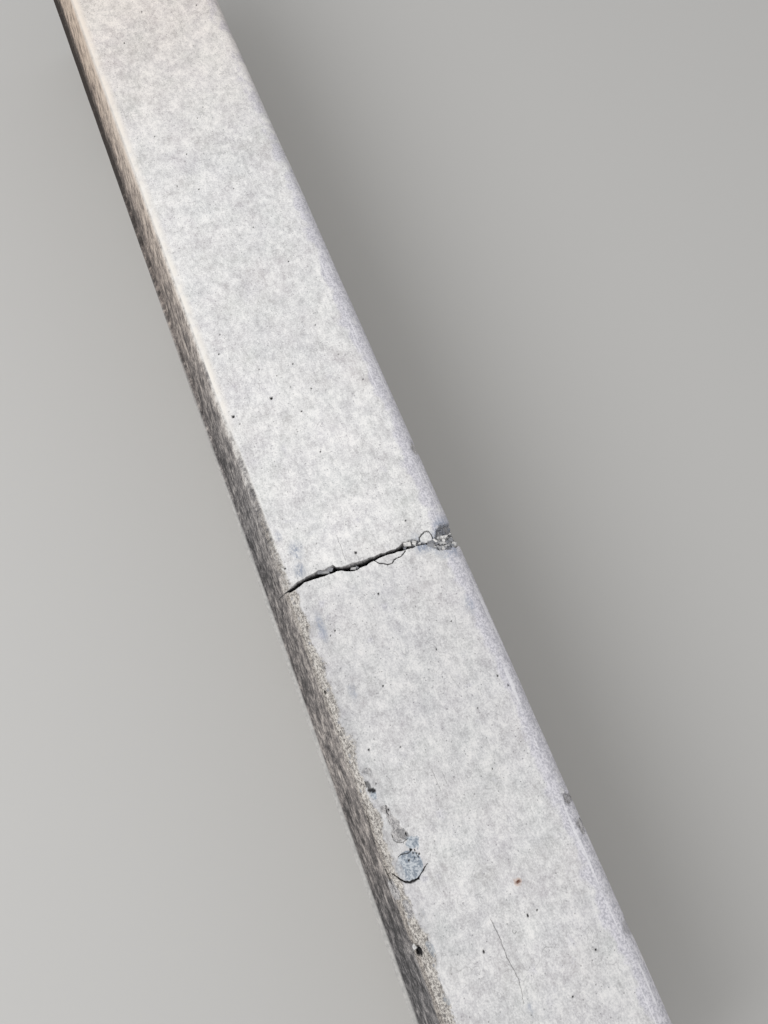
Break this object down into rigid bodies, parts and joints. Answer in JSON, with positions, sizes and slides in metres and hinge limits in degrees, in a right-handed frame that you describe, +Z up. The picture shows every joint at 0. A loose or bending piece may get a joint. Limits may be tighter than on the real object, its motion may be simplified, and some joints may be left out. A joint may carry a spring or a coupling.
{
  "type": "concrete kerb stone",
  "caption": "Straight concrete kerb stone: flat top with rounded arrises, battered road face above a narrow lip, a crack across the top, spalled edges and a flat base.",
  "frame": {"origin": "centre of the flat underside", "axes": "+X along the kerb's length, -Y towards the road face, +Z up"},
  "size_m": [1.83, 0.222, 0.3],
  "materials": {
    "concrete": "matte"
  },
  "bodies": {
    "root": {"kerb_stone": "concrete"}
  },
  "joints": []
}
